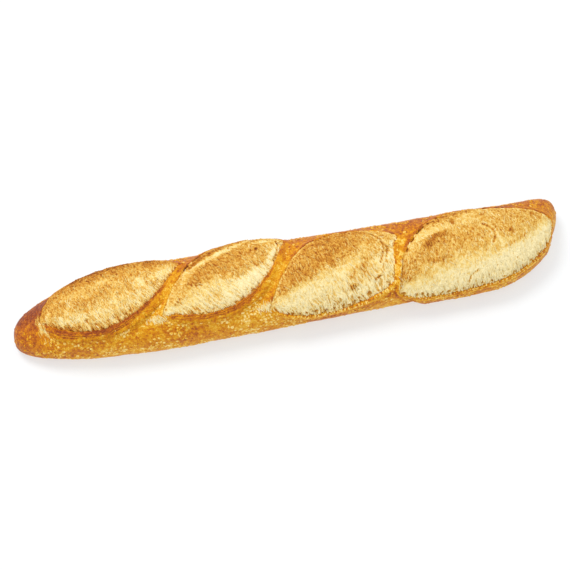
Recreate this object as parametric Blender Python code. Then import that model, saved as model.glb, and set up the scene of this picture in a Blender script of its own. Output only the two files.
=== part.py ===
"""A baguette: one loaf on its flat sole, with four slanted scores burst open along its top.

The loaf lies along X, the scores open towards -Y, and the sole is at z = 0. A point of the crust is named
by x, and by s, its distance round the loaf from the top line: s is positive towards the front, -Y.
"""

import bpy
import numpy as np

# ---- The loaf, metres -------------------------------------------------------
LENGTH = 0.430
WIDTH = 0.067             # across the loaf, between scores
HEIGHT = 0.0475           # sole to top line, between scores
SLIMMER = 0.055           # share of the width that the second half loses
SHOULDER = 0.44           # height of the widest line, as a share of the height
TIP_L = (0.126, 1.9, 0.405)  # left tip: how long it tapers, how pointed, how blunt
TIP_R = (0.080, 1.7, 0.42)   # right tip
SWING = (0.0250, 0.072)  # how far the right tip swings to the back, over what length
TIP_LIFT = 0.006          # both tips clear the table by this

# ---- The scores -------------------------------------------------------------
# Each opened as a leaf. From: where the blade went in, (x, s). To: where it came out. Front and back: how far
# the leaf opens to each side of that line, where along it, how full its curve is, and how much it draws in
# before the far tip. Swell: how high the torn crumb rose, and how much more so at its back. Lip: how high the
# tear lifted the crust in front of it, how far down the flank that reaches, and how full it is.
SCORES = (
    {"from": (-0.1922, 0.0031), "to": (-0.0846, -0.0160), "front": (0.0268, 0.47, 1.65, 0),
     "back": (0.0300, 0.49, 1.72, 0), "swell": (0.0046, 0.25), "lip": (0.0020, 0.0075, 1.2)},
    {"from": (-0.1039, 0.0219), "to": (-0.0034, -0.0215), "front": (0.0240, 0.53, 2.16, 0),
     "back": (0.0279, 0.62, 1.61, 0), "swell": (0.0048, 0.35), "lip": (0.0022, 0.0075, 1.2)},
    {"from": (-0.0248, 0.0295), "to": (0.0803, -0.0086), "front": (0.0325, 0.64, 0.95, 0.75),
     "back": (0.0292, 0.54, 2.09, 0), "swell": (0.0022, 0.60), "lip": (0.0020, 0.0190, 1.2)},
    {"from": (0.0736, 0.0365), "to": (0.2025, 0.0079), "front": (0.0202, 0.59, 1.20, 0),
     "back": (0.0461, 0.46, 1.56, 0), "swell": (0.0032, 0.00), "lip": (0.0036, 0.0260, 2.0)},
)
LIP_BACK = (0.0007, 0.0040, 1.2)  # the crust edge at the back of a score
CARRIED = 0.75            # share of the lip's height that the crumb beside it shares
TROUGH = (0.0016, 0.0030)  # the groove between the lip and the crumb: depth and width
ROUGH = 0.0003            # unevenness of the baked crust
SEED = 7

# ---- The mesh ---------------------------------------------------------------
ALONG, ROUND = 420, 240
TRIANGLES = 9400


def smooth(a, b, x):
    """0 below a, 1 above b, and a smooth rise between them."""
    t = np.clip((x - a) / (b - a), 0, 1)
    return t * t * (3 - 2 * t)


def taper(x):
    """The loaf's girth at x as a share of its full girth."""
    left = np.clip((x + LENGTH / 2) / TIP_L[0], 0, 1)
    right = np.clip((LENGTH / 2 - x) / TIP_R[0], 0, 1)
    ends = (1 - (1 - left) ** TIP_L[1]) ** TIP_L[2] * (1 - (1 - right) ** TIP_R[1]) ** TIP_R[2]
    return ends * (1 - SLIMMER * smooth(-0.06, 0.09, x))


def section(x, angle):
    """A point of the plain loaf: angle 0 is the top line, 90 degrees the front, 180 the sole."""
    girth = taper(x)
    half = WIDTH / 2 * girth
    high = HEIGHT * girth ** 0.85
    middle = SHOULDER * high
    c, s = np.cos(angle), np.sin(angle)
    swing = SWING[0] * np.clip(1 - (LENGTH / 2 - x) / SWING[1], 0, 1) ** 2.2
    y = swing - half * np.sign(s) * np.abs(s) ** 0.92
    above = middle + (high - middle) * np.abs(c) ** 0.95
    below = middle - (middle + 0.1 * high) * np.abs(c) ** 0.72
    z = np.maximum(np.where(c > 0, above, below), 0) + TIP_LIFT * (1 - girth) ** 1.5
    return np.stack([x, y, z], -1)


def belly(u, side):
    """How far a leaf opens at u, its place from tip to tip."""
    wide, peak, full, nip = side
    inside = np.clip(u, 1e-6, 1 - 1e-6)
    shape = (inside / peak) ** (full * peak) * ((1 - inside) / (1 - peak)) ** (full * (1 - peak))
    shape *= 1 - nip * smooth(0.80, 0.97, inside)
    return np.where((u > 0) & (u < 1), wide * shape, 0)


def outline(score, count=260):
    """The leaf's edge as (x, s) points, from tip to tip, for its front and for its back."""
    a, b = np.array(score["from"]), np.array(score["to"])
    along = (b - a) / np.linalg.norm(b - a)
    across = np.array([-along[1], along[0]])
    u = 0.5 - 0.5 * np.cos(np.pi * np.linspace(0, 1, count))
    line = a + u[:, None] * (b - a)
    return line + belly(u, score["front"])[:, None] * across, line - belly(u, score["back"])[:, None] * across


def nearest(points, edge):
    """Distance from each point to the nearest point of an edge."""
    found = np.full(len(points), np.inf)
    for corner in edge:
        found = np.minimum(found, np.hypot(points[:, 0] - corner[0], points[:, 1] - corner[1]))
    return found


def relief(points, score):
    """How far the crust stands out at each (x, s) because of one score."""
    a, b = np.array(score["from"]), np.array(score["to"])
    long = np.linalg.norm(b - a)
    along = (b - a) / long
    u = (points - a) @ along / long
    v = (points - a) @ np.array([-along[1], along[0]])
    open_to = np.where(v > 0, belly(u, score["front"]), belly(u, score["back"]))
    inside = np.abs(v) < open_to
    front_edge, back_edge = outline(score)
    front, back = nearest(points, front_edge), nearest(points, back_edge)
    edge = np.minimum(front, back)
    # The whole leaf swells, and takes a little of the crust round it along.
    gap = np.where(inside, edge, -edge)
    rise, lean = score["swell"]
    swell = rise * (1 + lean * smooth(0.6, -0.6, v / (open_to + 0.004))) * smooth(-0.012, 0.014, gap)
    # The front edge is a raised lip, dying out towards both tips; the back edge is only a crack.
    ends = smooth(0.0, 0.14, u) * smooth(1.0, 0.90, u)
    fronting = smooth(-0.35, 0.35, (back - front) / (back + front + 1e-9) * 1.4) * ends
    lip, reach, full = (f * fronting + b * (1 - fronting) for f, b in zip(score["lip"], LIP_BACK))
    outer = lip * smooth(0, 1, full * (1 - edge / reach)) * ~inside
    step = lip * (CARRIED * smooth(0.014, 0, edge) + (1 - CARRIED) * smooth(0.0016, 0, edge)) * inside
    groove = TROUGH[0] * (0.35 + 0.65 * fronting) * np.sin(np.pi * np.clip(edge / TROUGH[1], 0, 1)) * inside
    return swell + outer + step - groove


def unevenness(points):
    """Shallow dents and swellings, a few centimetres long."""
    rng = np.random.default_rng(SEED)
    total = np.zeros(len(points))
    for _ in range(14):
        turn, length, phase = rng.uniform(0, np.pi), rng.uniform(0.012, 0.045), rng.uniform(0, 2 * np.pi)
        total += np.cos((points[:, 0] * np.cos(turn) + points[:, 1] * np.sin(turn)) * 2 * np.pi / length + phase)
    return total * ROUGH / np.sqrt(7)


def loaf_grid(along, around):
    """The loaf's crust as rings of points, with the scores raised on it, and s for each point."""
    place = np.linspace(0, 1, along + 2)[1:-1]
    x = LENGTH * (0.35 * -np.cos(np.pi * place) / 2 + 0.65 * (place - 0.5))
    angle = np.linspace(-np.pi, np.pi, around, endpoint=False)
    grid_x, grid_angle = np.meshgrid(x, angle, indexing="ij")
    rings = section(grid_x, grid_angle)
    steps = np.linalg.norm(np.diff(rings, axis=1), axis=2)
    s = np.concatenate([np.zeros((along, 1)), np.cumsum(steps, axis=1)], axis=1)
    s -= s[:, around // 2][:, None]
    out = np.cross(np.gradient(rings, axis=0), np.roll(rings, 1, 1) - np.roll(rings, -1, 1))
    out /= np.linalg.norm(out, axis=2, keepdims=True)
    flat = np.stack([grid_x.ravel(), s.ravel()], -1)
    raised = sum(relief(flat, score) for score in SCORES) + unevenness(flat)
    # The sole stays flat, and the tips stay closed.
    down = np.abs(np.degrees(grid_angle)).ravel()
    ends = smooth(0, 0.012, LENGTH / 2 - np.abs(grid_x.ravel()))
    raised *= smooth(150, 125, down) * ends
    rings = rings + out * raised.reshape(grid_x.shape)[..., None]
    rings[..., 2] = np.maximum(rings[..., 2], 0)
    # The origin is under the middle of the loaf.
    rings[..., 1] -= (rings[..., 1].min() + rings[..., 1].max()) / 2
    return rings, s


# ---- Build ------------------------------------------------------------------
def loaf_mesh(name):
    rings, _ = loaf_grid(ALONG, ROUND)
    tips = rings[[0, -1]].mean(axis=1)
    tips[:, 0] = -LENGTH / 2, LENGTH / 2
    points = np.concatenate([rings.reshape(-1, 3), tips])
    first = len(points) - 2
    faces = []
    for i in range(ALONG - 1):
        for j in range(ROUND):
            k = (j + 1) % ROUND
            faces.append((i * ROUND + j, i * ROUND + k, (i + 1) * ROUND + k, (i + 1) * ROUND + j))
    last = (ALONG - 1) * ROUND
    for j in range(ROUND):
        k = (j + 1) % ROUND
        faces.append((first, k, j))
        faces.append((first + 1, last + j, last + k))
    mesh = bpy.data.meshes.new(name)
    mesh.from_pydata(points.tolist(), [], faces)
    return mesh


for old in list(bpy.data.objects):
    bpy.data.objects.remove(old)

loaf = bpy.data.objects.new("baguette", loaf_mesh("baguette"))
bpy.context.scene.collection.objects.link(loaf)
fewer = loaf.modifiers.new("fewer", "DECIMATE")
fewer.ratio = TRIANGLES / (2 * ALONG * ROUND)

crust = bpy.data.materials.new("crust")
crust.use_nodes = True
crust.node_tree.nodes["Principled BSDF"].inputs["Base Color"].default_value = (0.62, 0.32, 0.08, 1)
crust.node_tree.nodes["Principled BSDF"].inputs["Roughness"].default_value = 0.6
loaf.data.materials.append(crust)
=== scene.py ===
# %% [markdown]
# # A baguette, dressed for the camera
#
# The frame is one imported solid: a long loaf with four scores. Everything below builds what a baker would
# see on it: the baked skin, the crumb that burst through each score, the ears of crust along the cuts, the
# blisters and the torn threads. All of it is modelled at true size, in metres, around that solid.

# %% Tools and the frame
import math

import bpy
import numpy as np
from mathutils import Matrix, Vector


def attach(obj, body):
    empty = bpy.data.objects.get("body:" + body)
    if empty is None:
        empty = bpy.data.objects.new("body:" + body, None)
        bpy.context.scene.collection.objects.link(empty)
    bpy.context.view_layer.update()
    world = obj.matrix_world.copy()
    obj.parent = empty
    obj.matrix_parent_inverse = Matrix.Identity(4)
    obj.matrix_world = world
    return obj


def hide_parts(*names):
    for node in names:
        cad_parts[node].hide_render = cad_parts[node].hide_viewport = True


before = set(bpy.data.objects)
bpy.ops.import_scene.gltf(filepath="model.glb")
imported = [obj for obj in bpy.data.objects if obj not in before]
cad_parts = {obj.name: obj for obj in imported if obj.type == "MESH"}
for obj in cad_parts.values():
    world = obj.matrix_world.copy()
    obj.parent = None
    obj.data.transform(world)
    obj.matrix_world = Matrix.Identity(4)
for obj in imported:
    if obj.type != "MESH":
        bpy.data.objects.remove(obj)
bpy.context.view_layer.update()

# %% [markdown]
# ## The plain loaf
#
# A shaped loaf is a tapered roll of dough on a flat sole. It could be sculpted, but a formula is easier to
# keep true to the solid: one closed section, whose size follows a taper along x. The same formula gives
# the place for every later piece, so nothing has to be fitted by eye.

# %% Sizes of the loaf, metres
MM = 0.001
LENGTH = 0.430
WIDTH = 0.067
HEIGHT = 0.0475
SLIMMER = 0.055
SHOULDER = 0.44
TIP_L = (0.126, 1.9, 0.405)
TIP_R = (0.080, 1.7, 0.42)
SWING = (0.0250, 0.072)
TIP_LIFT = 0.006


def smooth(a, b, x):
    """0 below a, 1 above b, and a smooth rise between them."""
    t = np.clip((x - a) / (b - a), 0, 1)
    return t * t * (3 - 2 * t)


def taper(x):
    left = np.clip((x + LENGTH / 2) / TIP_L[0], 0, 1)
    right = np.clip((LENGTH / 2 - x) / TIP_R[0], 0, 1)
    ends = (1 - (1 - left) ** TIP_L[1]) ** TIP_L[2] * (1 - (1 - right) ** TIP_R[1]) ** TIP_R[2]
    return ends * (1 - SLIMMER * smooth(-0.06, 0.09, x))


def section(x, angle):
    """A point of the plain loaf: angle 0 is the top line, 90 degrees the front, 180 the sole."""
    girth = taper(x)
    half = WIDTH / 2 * girth
    high = HEIGHT * girth ** 0.85
    middle = SHOULDER * high
    c, s = np.cos(angle), np.sin(angle)
    swing = SWING[0] * np.clip(1 - (LENGTH / 2 - x) / SWING[1], 0, 1) ** 2.2
    y = swing - half * np.sign(s) * np.abs(s) ** 0.92
    above = middle + (high - middle) * np.abs(c) ** 0.95
    below = middle - (middle + 0.1 * high) * np.abs(c) ** 0.72
    z = np.maximum(np.where(c > 0, above, below), 0) + TIP_LIFT * (1 - girth) ** 1.5
    return np.stack([x, y, z], -1)


# %% [markdown]
# A place on the skin is easiest to name by two lengths: x, and s, the distance round the loaf from its top
# line. A table turns s back into the section's angle, so that any (x, s) becomes a point and a normal.

# %% From (x, s) to a point and a normal
STATIONS = np.linspace(-LENGTH / 2 + 0.0008, LENGTH / 2 - 0.0008, 860)
ROUNDS = np.linspace(-0.105, 0.105, 421)
_turn = np.linspace(-np.pi, np.pi, 721)
_rings = section(*np.meshgrid(STATIONS, _turn, indexing="ij"))
_arc = np.concatenate(
    [np.zeros((len(STATIONS), 1)), np.cumsum(np.linalg.norm(np.diff(_rings, axis=1), axis=2), axis=1)], axis=1
)
_arc -= _arc[:, 360][:, None]
ANGLES = np.array([np.interp(ROUNDS, arc, _turn) for arc in _arc])
HALF_GIRTH = (_arc[:, -1] - _arc[:, 0]) / 2


def angle_at(x, s):
    i = np.clip((x - STATIONS[0]) / (STATIONS[1] - STATIONS[0]), 0, len(STATIONS) - 1.001)
    j = np.clip((s - ROUNDS[0]) / (ROUNDS[1] - ROUNDS[0]), 0, len(ROUNDS) - 1.001)
    i0, j0 = i.astype(int), j.astype(int)
    u, v = i - i0, j - j0
    low = ANGLES[i0, j0] * (1 - u) + ANGLES[i0 + 1, j0] * u
    high = ANGLES[i0, j0 + 1] * (1 - u) + ANGLES[i0 + 1, j0 + 1] * u
    return low * (1 - v) + high * v


def on_loaf(x, s):
    """Points of the plain loaf at (x, s), and the way out of it."""
    angle = angle_at(x, s)
    step = 0.0004
    near = np.clip(x, -LENGTH / 2 + 2 * step, LENGTH / 2 - 2 * step)
    round_it = section(near, angle + 0.01) - section(near, angle - 0.01)
    along_it = section(near + step, angle) - section(near - step, angle)
    out = np.cross(round_it, along_it)
    out /= np.maximum(np.linalg.norm(out, axis=-1, keepdims=True), 1e-12)
    return section(x, angle), out


print("girth at the middle, mm:", round(2000 * HALF_GIRTH[430], 1))

# %% [markdown]
# ## The scores
#
# Each slanted cut opened in the oven as a leaf: a pointed lens between two edges. In front of it the crust
# was lifted into a lip, behind it there is only a crack. The leaf is set down with a few numbers, and two
# curves give its edges.

# %% Where the four scores lie
SCORES = (
    {"from": (-0.1922, 0.0031), "to": (-0.0846, -0.0160), "front": (0.0268, 0.47, 1.65, 0),
     "back": (0.0300, 0.49, 1.72, 0), "swell": (0.0046, 0.25), "lip": (0.0020, 0.0075, 1.2)},
    {"from": (-0.1039, 0.0219), "to": (-0.0034, -0.0215), "front": (0.0240, 0.53, 2.16, 0),
     "back": (0.0279, 0.62, 1.61, 0), "swell": (0.0048, 0.35), "lip": (0.0022, 0.0075, 1.2)},
    {"from": (-0.0248, 0.0295), "to": (0.0803, -0.0086), "front": (0.0325, 0.64, 0.95, 0.75),
     "back": (0.0292, 0.54, 2.09, 0), "swell": (0.0022, 0.60), "lip": (0.0020, 0.0190, 1.2)},
    {"from": (0.0736, 0.0365), "to": (0.2025, 0.0079), "front": (0.0202, 0.59, 1.20, 0),
     "back": (0.0461, 0.46, 1.56, 0), "swell": (0.0032, 0.00), "lip": (0.0036, 0.0260, 2.0)},
)
LIP_BACK = (0.0007, 0.0040, 1.2)


def belly(u, side):
    """How far a leaf opens at u, its place from tip to tip."""
    wide, peak, full, nip = side
    inside = np.clip(u, 1e-6, 1 - 1e-6)
    shape = (inside / peak) ** (full * peak) * ((1 - inside) / (1 - peak)) ** (full * (1 - peak))
    shape *= 1 - nip * smooth(0.80, 0.97, inside)
    return np.where((u > 0) & (u < 1), wide * shape, 0)


class Leaf:
    """One score: its axis, its two edges, and where a point of the skin lies in it."""

    def __init__(self, score):
        self.score = score
        self.start, self.end = np.array(score["from"]), np.array(score["to"])
        self.long = np.linalg.norm(self.end - self.start)
        self.along = (self.end - self.start) / self.long
        self.across = np.array([-self.along[1], self.along[0]])

    def place(self, u, v):
        """(x, s) at share u of the axis, v metres to its front."""
        return self.start + np.outer(u * self.long, self.along) + np.outer(v, self.across)

    def edges(self, count=300):
        u = 0.5 - 0.5 * np.cos(np.pi * np.linspace(0, 1, count))
        return self.place(u, belly(u, self.score["front"])), self.place(u, -belly(u, self.score["back"]))

    def read(self, points):
        """u and v of the points, whether they are inside, and their distance to the front and back edges."""
        u = (points - self.start) @ self.along / self.long
        v = (points - self.start) @ self.across
        opened = np.where(v > 0, belly(u, self.score["front"]), belly(u, self.score["back"]))
        front, back = (nearest(points, edge) for edge in self.edges())
        return u, v, opened, np.abs(v) < opened, front, back

    def fronting(self, u, front, back):
        """1 along the front edge, 0 along the back one and at both tips."""
        ends = smooth(0.0, 0.14, u) * smooth(1.0, 0.90, u)
        return smooth(-0.35, 0.35, (back - front) / (back + front + 1e-9) * 1.4) * ends

    def swell(self, v, opened, gap):
        """How high the whole leaf rose, with a little of the crust round it."""
        rise, lean = self.score["swell"]
        return rise * (1 + lean * smooth(0.6, -0.6, v / (opened + 0.004))) * smooth(-0.012, 0.014, gap)


def nearest(points, edge):
    """Distance from each point to the nearest point of an edge."""
    found = np.full(len(points), np.inf)
    for corner in edge:
        np.minimum(found, np.hypot(points[:, 0] - corner[0], points[:, 1] - corner[1]), out=found)
    return found


LEAVES = [Leaf(score) for score in SCORES]
print("scores, mm long:", [round(leaf.long * 1000) for leaf in LEAVES])

# %% [markdown]
# ## Noise for baked surfaces
#
# Bread has no straight lines: bubbles, folds and browning all wander. Blender's own noise answers one point
# at a time; a small lattice noise in numpy answers a whole mesh at once, and gives the same result each run.

# %% A seeded noise for whole meshes
def lattice_noise(points, seed):
    """Smooth noise from about -1 to 1, with features one unit wide."""
    cell = np.floor(points).astype(np.int64)
    part = points - cell
    fade = part * part * part * (part * (part * 6 - 15) + 10)
    total = np.zeros(len(points))
    for corner in np.ndindex(2, 2, 2):
        spot = cell + corner
        mixed = spot[:, 0] * 374761393 + spot[:, 1] * 668265263 + spot[:, 2] * 2147483647 + seed * 974711
        mixed = (mixed ^ (mixed >> 13)) * 1274126177
        mixed = (mixed ^ (mixed >> 16)) & 0xFFFFFF
        turn = mixed / 0xFFFFFF * 2 * np.pi
        rise = ((mixed * 7919) & 0xFFFF) / 0xFFFF * 2 - 1
        flat = np.sqrt(np.maximum(1 - rise * rise, 0))
        away = part - corner
        value = away[:, 0] * flat * np.cos(turn) + away[:, 1] * flat * np.sin(turn) + away[:, 2] * rise
        weight = np.prod(np.where(corner, fade, 1 - fade), axis=1)
        total += value * weight
    return total * 1.6


def noise(points, size, seed, octaves=1):
    """Noise with features of that size, in metres; each further octave is half as big and half as strong."""
    total, strength = np.zeros(len(points)), 1.0
    for octave in range(octaves):
        total += strength * lattice_noise(points / size * 2 ** octave, seed + octave)
        strength /= 2
    return total


def stretched(u, v, size_u, size_v, seed):
    """Noise on a leaf, with features longer one way than the other."""
    return lattice_noise(np.stack([u / size_u, v / size_v, np.full(len(u), seed * 3.7)], -1), seed)


def ridges(u, v, size_u, size_v, seed):
    """Thin crests, 0 to 1, where such noise crosses zero: a net of threads longer one way."""
    return smooth(0.34, 0.0, np.abs(stretched(u, v, size_u, size_v, seed)))


def ragged(points):
    """(x, s) moved a little, so that whatever is measured from it has a torn edge."""
    flat = np.concatenate([points, np.zeros((len(points), 1))], axis=1)
    wide = np.stack([noise(flat, 0.006, 41), noise(flat, 0.006, 42)], -1)
    small = np.stack([noise(flat, 0.0019, 43), noise(flat, 0.0019, 44)], -1)
    return points + 0.0007 * wide + 0.0003 * small


def painted(tone, a, b, patches, flat):
    """The tone after each patch has been browned, or kept pale, with a mottled edge."""
    blur = 0.34 * noise(flat, 0.0056, 51, 2) + 0.42 * noise(flat, 0.0021, 53, 2)
    for at_a, at_b, half_a, half_b, slant, target in patches:
        reach = np.hypot((a - at_a) / half_a, (b - at_b - slant * (a - at_a)) / half_b) + blur
        tone = tone + (target - tone) * smooth(1.65, 0.25, reach)
    return tone


# %% Turning arrays into a mesh
def add_mesh(name, points, faces, values=(), uv=None):
    """A smooth mesh object with float attributes on its points and, if given, a UV for each face corner."""
    mesh = bpy.data.meshes.new(name)
    mesh.from_pydata(points.tolist(), [], faces)
    for key, numbers in dict(values).items():
        mesh.attributes.new(key, "FLOAT", "POINT").data.foreach_set("value", np.asarray(numbers, np.float32))
    if uv is not None:
        mesh.uv_layers.new(name="OFBake").data.foreach_set("uv", np.asarray(uv, np.float32).ravel())
    mesh.polygons.foreach_set("use_smooth", np.ones(len(mesh.polygons), bool))
    mesh.update()
    thing = bpy.data.objects.new(name, mesh)
    bpy.context.scene.collection.objects.link(thing)
    describe(thing)
    return thing


def add_pull(thing, vectors):
    """The way the dough was drawn out at each point."""
    thing.data.attributes.new("pull", "FLOAT_VECTOR", "POINT").data.foreach_set("vector", vectors.ravel())


def describe(thing):
    """Print how many triangles a piece has, and its volume: above zero if its faces look outward."""
    mesh = thing.data
    mesh.calc_loop_triangles()
    corners = np.empty(len(mesh.loop_triangles) * 3, np.int32)
    mesh.loop_triangles.foreach_get("vertices", corners)
    points = np.empty(len(mesh.vertices) * 3)
    mesh.vertices.foreach_get("co", points)
    a, b, c = points.reshape(-1, 3)[corners.reshape(-1, 3)].transpose(1, 0, 2)
    volume = np.sum(a * np.cross(b, c)) / 6 * 1e6
    print(f"{thing.name}: {len(corners) // 3} triangles, {volume:.2f} cubic cm")


# %% [markdown]
# ## The crust
#
# The skin of the loaf is one closed surface. Rings of points are laid from tip to tip, closer together on
# the side that is looked at, and each point is moved along its normal: up where a score swelled or lifted
# its lip, down into a trough where the crumb will sit. It also learns how brown it is there, because the
# oven browns what stands out and what is thin, and how dark its creases and cracks are painted as shade.

# %% How the scores shape the skin
TROUGH_DEEP = 0.0042
TROUGH_WALL = 0.0022
# Creases where the dough folded: points (x, s) in mm, and how deep, which also sets their painted shade.
CREASES = (
    (((76, 6), (74.5, 15), (72.5, 27), (70, 35)), 0.6),
    (((70, 35), (64, 40.5), (50, 45)), 0.5),
    (((70, 35), (75, 45), (86, 58)), 0.7),
    (((83, 6), (87, -2), (95, -9.5), (108, -16)), 0.6),
    (((-86, 2), (-79, -10), (-70, -20)), 0.5),
)


# Pale threads lie smeared over the crust where a cut begins: from its start (x, s), half sizes and slant, mm.
SMEARS = ((1.0, 4.0, 3.2, 8.0, 0.25), (-3.8, 2.2, 6.5, 2.8, 0), (-3.0, -0.2, 6.0, 3.2, 0), (5.0, -12, 4.5, 9.5, -0.15))


def narrowed(u, number):
    """How wide the browned band beside a score still is at u: those of the first two scores run out thin."""
    return 1 - 0.68 * smooth(0.40, 0.72, u) * (number < 2)


def crust_relief(points):
    """Height of the skin over the plain loaf at each (x, s), and the masks that its colour needs."""
    height = np.zeros(len(points))
    points = ragged(points)
    masks = {key: np.zeros(len(points)) for key in ("lip", "band", "crack", "inside", "start", "crease")}
    masks["edge"] = np.full(len(points), 1.0)
    for number, leaf in enumerate(LEAVES):
        u, v, opened, inside, front, back = leaf.read(points)
        edge = np.minimum(front, back)
        fronting = leaf.fronting(u, front, back)
        lip, reach, full = (f * fronting + b * (1 - fronting) for f, b in zip(leaf.score["lip"], LIP_BACK))
        height += leaf.swell(v, opened, np.where(inside, edge, -edge))
        height += lip * smooth(0, 1, full * (1 - edge / reach)) * ~inside
        wall = TROUGH_WALL * (0.6 + 0.4 * fronting)
        height += (lip + TROUGH_DEEP) * smooth(wall, 0, edge) * inside - TROUGH_DEEP * inside
        masks["edge"] = np.minimum(masks["edge"], edge)
        wide = narrowed(u, number)
        lip_mask = fronting * smooth(0.90, 0.70, u) * np.exp(-(edge / 0.0028 / wide) ** 2) * ~inside
        masks["lip"] = np.maximum(masks["lip"], lip_mask)
        masks["band"] = np.maximum(masks["band"], fronting * smooth(reach * wide, 0.4 * reach * wide, edge) * ~inside)
        masks["crack"] = np.maximum(masks["crack"], (1 - fronting) * np.exp(-edge / 0.0009) * ~inside)
        masks["inside"] = np.maximum(masks["inside"], inside * smooth(0, 0.001, edge))
        ahead, round_it, wide, tall, slant = SMEARS[number]
        dx, ds = ((points - leaf.score["from"]) / MM).T
        smear = np.hypot((dx - ahead - slant * (ds - round_it)) / wide, (ds - round_it) / tall)
        masks["start"] = np.maximum(masks["start"], np.exp(-smear ** 3) * ~inside)
    for line, deep in CREASES:
        line = np.array(line) * MM
        away = nearest(points, np.concatenate([np.linspace(a, b, 24) for a, b in zip(line[:-1], line[1:])]))
        masks["crease"] = np.maximum(masks["crease"], deep * np.exp(-(away / 0.0011) ** 2))
    height -= 0.0011 * masks["crease"] * (1 - masks["inside"])
    return height, masks


# %% How brown each point of the skin is
# Patches of the skin that came out darker or paler: x, s, half sizes in mm, slant, tone.
SKIN = (
    (-202, -8, 20, 14, 0.2, 0.82), (-207, 12, 12, 16, 0, 0.66), (-190, -13, 10, 6, 0.3, 0.74),
    (-165, 37, 12, 6, 0, 0.64), (-88, 41, 15, 8, 0, 0.62), (-101, 33, 6, 5, 0, 0.56), (-58, 48, 12, 6, 0, 0.54),
    (-118, 37, 8, 9, 0, 0.56), (-190, 20, 8, 6, 0, 0.50), (-112, 22, 12, 5, 0, 0.37), (-90, 4, 5, 17, -1.4, 0.37),
    (-38, 36, 12, 8, 0, 0.36), (-14, 4, 6, 22, -2.0, 0.37), (-18, 25, 3, 4, 0, 0.54), (-25, 45, 14, 9, 0, 0.40),
    (81, 2, 5, 9, -1.6, 0.34), (77, 23, 5, 13, -0.3, 0.16), (63, 50, 13, 9, 0, 0.36), (103, 22, 13, 7, 0.35, 0.26), (101, -4, 6, 4, -0.9, 0.52), (42, 30, 20, 3, -0.35, 0.28), (-80, -24, 12, 8, 0, 0.56), (-5, -27, 24, 7, 0, 0.58),
    (50, -26, 30, 6, 0, 0.56), (100, -21, 22, 8, -0.2, 0.58), (172, -19, 24, 8, 0, 0.64), (205, -4, 8, 14, 0.3, 0.62),
    (208, 18, 7, 14, 0, 0.42), (10, 52, 32, 5, 0, 0.64), (120, 52, 42, 6, -0.08, 0.55), (175, 43, 22, 6, -0.4, 0.50),
)


def crust_tone(x, s, flat, masks):
    """Tone of the skin from 0, pale, to 1, dark: its browning, with painted shade in its creases and cracks."""
    broad, fine = noise(flat, 0.019, 21, 2), noise(flat, 0.0048, 11, 2)
    tone = painted(0.45 + 0.06 * broad, x / MM, s / MM, SKIN, flat)
    tone += 0.12 * smooth(0.014, -0.020, s) + 0.10 * smooth(-0.165, -0.190, x)
    tone += 0.10 * fine * smooth(0.0005, 0.004, masks["edge"])
    streaks = lattice_noise(np.stack([x / 0.0016, s / 0.0085, np.full(len(x), 4.2)], -1), 27)
    tone += masks["band"] * (0.07 + 0.15 * streaks * smooth(0.034, 0.046, s))
    # Painted shade darkens the creases.
    tone += 0.10 * masks["lip"] + 0.45 * masks["crease"]
    # Painted shade along the crack behind each score, in patches.
    tone += 0.50 * masks["crack"] * smooth(0.0, 0.6, noise(flat, 0.010, 29))
    calm = (0.35 + 0.65 * smooth(0.003, 0.008, masks["edge"])) * (1 - 0.5 * smooth(-0.180, -0.195, x))
    tone += 0.16 * calm * noise(flat, 0.0016, 30, 2)
    threads = lattice_noise(np.stack([x / 0.0012, (s + 0.3 * x) / 0.006, np.full(len(x), 1.3)], -1), 28)
    return tone - (tone - 0.34) * masks["start"] * smooth(-0.6, 0.2, threads)


# %% Laying the rings
RINGS = 620
SPACES = ((-1.0, -0.50, 22), (-0.50, 0.80, 116), (0.80, 1.0, 10))   # share of the half girth, and lines there

shares = np.concatenate([np.linspace(a, b, n, endpoint=False) for a, b, n in SPACES])
lines = len(shares)
place = np.linspace(0, 1, RINGS + 2)[1:-1]
ring_x = LENGTH * (0.25 * -np.cos(np.pi * place) / 2 + 0.75 * (place - 0.5))
grid_x, grid_share = (g.ravel() for g in np.meshgrid(ring_x, shares, indexing="ij"))
grid_s = grid_share * np.interp(grid_x, STATIONS, HALF_GIRTH)


def skin_height(x, s, height, masks):
    """The skin's height with its dents, wrinkles and pimples, dying out at the sole and the tips."""
    point, out = on_loaf(x, s)
    free = smooth(0.80, 0.66, np.abs(s) / np.interp(x, STATIONS, HALF_GIRTH)) * smooth(0, 0.012, LENGTH / 2 - np.abs(x))
    pimple = np.maximum(noise(point, 0.0023, 31), 0) * (1 - masks["inside"])
    height = height + 0.00035 * noise(point, 0.022, 21, 2) + 0.00018 * noise(point, 0.0055, 11, 3) + 0.0002 * pimple
    return point, out, height * free


def skin_points(x, s):
    """Points on the finished skin at (x, s), the masks there, and the way out."""
    height, masks = crust_relief(np.stack([x, s], -1))
    point, out, height = skin_height(x, s, height, masks)
    return point + out * height[:, None], masks, out


skin, masks, _ = skin_points(grid_x, grid_s)
skin[:, 2] = np.maximum(skin[:, 2], 0)
SHIFT_Y = -(skin[:, 1].min() + skin[:, 1].max()) / 2
tone = crust_tone(grid_x, grid_s, skin, masks)
tone += 0.16 * smooth(0.80, 0.86, np.abs(grid_share))
print("the loaf is moved back by, mm:", round(SHIFT_Y * 1000, 2))

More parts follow.
